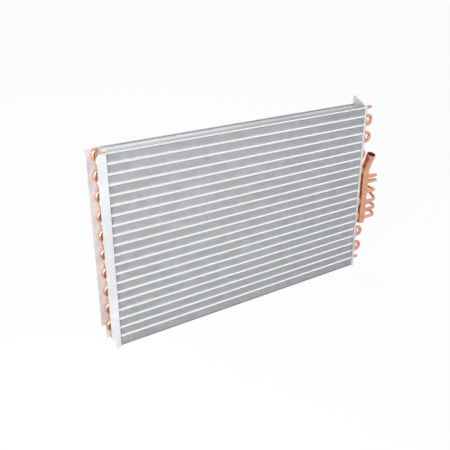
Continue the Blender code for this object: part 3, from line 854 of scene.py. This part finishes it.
FLOOR_SIZE, FLOOR_DROP = 60.0, 0.0002
FLOOR_COLOUR = (0.92, 0.92, 0.92, 1.0)
ROOM_COLOUR, ROOM_STRENGTH = (0.93, 0.95, 1.0, 1.0), 0.46
WHITE = (1.0, 1.0, 1.0, 1.0)

# Share of plain white in what the camera sees of the floor and of the room
FLOOR_SHARE, ROOM_SHARE = 0.94, 1.0

# Each lamp's name, place, size and power
LAMPS = (("key_lamp", (-1.0, -0.72, 0.6), 0.8, 14.0),
         ("fill_lamp", (2.2, -1.6, 1.4), 2.4, 3.0),
         ("back_lamp", (0.4, 2.4, 2.2), 2.4, 18.0))
LAMP_AIM = (0.0, 0.0, 0.25)

# The camera as it was fitted to the picture
CAMERA_PLACE = (-0.90552, -1.26342, 0.91474)
CAMERA_RIGHT = (0.83333, -0.55277, 0.00017)
CAMERA_DOWN = (-0.22275, -0.33610, -0.91511)
CAMERA_FORWARD = (0.50590, 0.76255, -0.40321)
CAMERA_LENS, CAMERA_SENSOR = 49.18, 36.0


class COIL_OT_stage(bpy.types.Operator):
    """Set up the pale floor, the soft lamps and the camera at the picture's angle"""
    bl_idname = "coil.stage"
    bl_label = "Stage"

    def execute(self, context):
        scene = context.scene
        scene.view_settings.view_transform = "Standard"
        self.add_floor()
        self.add_room(scene)
        for name, place, size, power in LAMPS:
            bpy.ops.object.light_add(type="AREA", location=place)
            lamp = bpy.context.object
            lamp.name = name
            lamp.data.size = size
            lamp.data.energy = power
            aim = Vector(LAMP_AIM) - Vector(place)
            lamp.rotation_euler = aim.to_track_quat("-Z", "Y").to_euler()
        self.add_camera(scene)
        return {"FINISHED"}

    @classmethod
    def add_floor(cls):
        """A wide floor that takes the object's shadow and is white to the camera."""
        start_clean()
        bpy.ops.mesh.primitive_plane_add(size=FLOOR_SIZE, location=(0.0, 0.0, -FLOOR_DROP))
        floor = bpy.context.object
        floor.name = "floor"
        pale = bpy.data.materials.new("Pale floor")
        pale.use_nodes = True
        nodes, links = pale.node_tree.nodes, pale.node_tree.links
        nodes.remove(nodes["Principled BSDF"])
        matt = nodes.new("ShaderNodeBsdfDiffuse")
        matt.inputs["Color"].default_value = FLOOR_COLOUR
        glow = nodes.new("ShaderNodeEmission")
        cls.mix_seen(nodes, links, FLOOR_SHARE, matt, glow, nodes["Material Output"])
        floor.data.materials.append(pale)

    @classmethod
    def add_room(cls, scene):
        """Soft light from all round, and white where the camera looks past the object."""
        world = bpy.data.worlds.new("Soft studio")
        scene.world = world
        world.use_nodes = True
        nodes, links = world.node_tree.nodes, world.node_tree.links
        room = nodes["Background"]
        room.inputs["Color"].default_value = ROOM_COLOUR
        room.inputs["Strength"].default_value = ROOM_STRENGTH
        white = nodes.new("ShaderNodeBackground")
        white.inputs["Color"].default_value = WHITE
        cls.mix_seen(nodes, links, ROOM_SHARE, room, white, nodes["World Output"])

    @staticmethod
    def mix_seen(nodes, links, share, lit, seen, output):
        """Mixes in the seen shader only for what the camera, a reflection or glass shows."""
        path = nodes.new("ShaderNodeLightPath")
        total = path.outputs["Is Camera Ray"]
        for ray in ("Is Glossy Ray", "Is Transmission Ray"):
            add = nodes.new("ShaderNodeMath")
            add.operation = "ADD"
            add.use_clamp = True
            links.new(total, add.inputs[0])
            links.new(path.outputs[ray], add.inputs[1])
            total = add.outputs[0]
        scale = nodes.new("ShaderNodeMath")
        scale.operation = "MULTIPLY"
        scale.inputs[1].default_value = share
        links.new(total, scale.inputs[0])
        mix = nodes.new("ShaderNodeMixShader")
        links.new(scale.outputs[0], mix.inputs["Fac"])
        links.new(lit.outputs[0], mix.inputs[1])
        links.new(seen.outputs[0], mix.inputs[2])
        links.new(mix.outputs[0], output.inputs["Surface"])

    @staticmethod
    def add_camera(scene):
        bpy.ops.object.camera_add(location=CAMERA_PLACE)
        camera = bpy.context.object
        camera.name = "picture_camera"
        right, down = Vector(CAMERA_RIGHT), Vector(CAMERA_DOWN)
        turn = Matrix((right, -down, -Vector(CAMERA_FORWARD))).transposed()
        camera.rotation_euler = turn.to_euler()
        camera.data.lens = CAMERA_LENS
        camera.data.sensor_width = CAMERA_SENSOR
        scene.camera = camera


class COIL_PT_sidebar(bpy.types.Panel):
    """Lists the coil's sizes and colours and the steps that build it"""
    bl_idname = "COIL_PT_sidebar"
    bl_label = "Evaporator Coil"
    bl_space_type = "VIEW_3D"
    bl_region_type = "UI"
    bl_category = "Coil"

    def draw(self, context):
        layout = self.layout
        for step in STEPS:
            layout.operator(step.bl_idname)
        for group in (context.scene.coil_sizes, context.scene.coil_colours):
            column = layout.column()
            for key in group.bl_rna.properties.keys():
                if key not in ("rna_type", "name"):
                    column.prop(group, key)


STEPS = (COIL_OT_fins, COIL_OT_collars, COIL_OT_hairpins, COIL_OT_return_bends, COIL_OT_header,
         COIL_OT_plates, COIL_OT_stage)
CLASSES = (CoilSizes, CoilColours, *STEPS, COIL_PT_sidebar)


def register():
    for item in CLASSES:
        bpy.utils.register_class(item)
    bpy.types.Scene.coil_sizes = bpy.props.PointerProperty(type=CoilSizes)
    bpy.types.Scene.coil_colours = bpy.props.PointerProperty(type=CoilColours)


def unregister():
    del bpy.types.Scene.coil_colours
    del bpy.types.Scene.coil_sizes
    for item in reversed(CLASSES):
        bpy.utils.unregister_class(item)


def main():
    register()
    bpy.ops.coil.fins()
    bpy.ops.coil.collars()
    bpy.ops.coil.hairpins()
    bpy.ops.coil.return_bends()
    bpy.ops.coil.header()
    bpy.ops.coil.plates()
    bpy.ops.coil.stage()


if __name__ == "__main__":
    main()
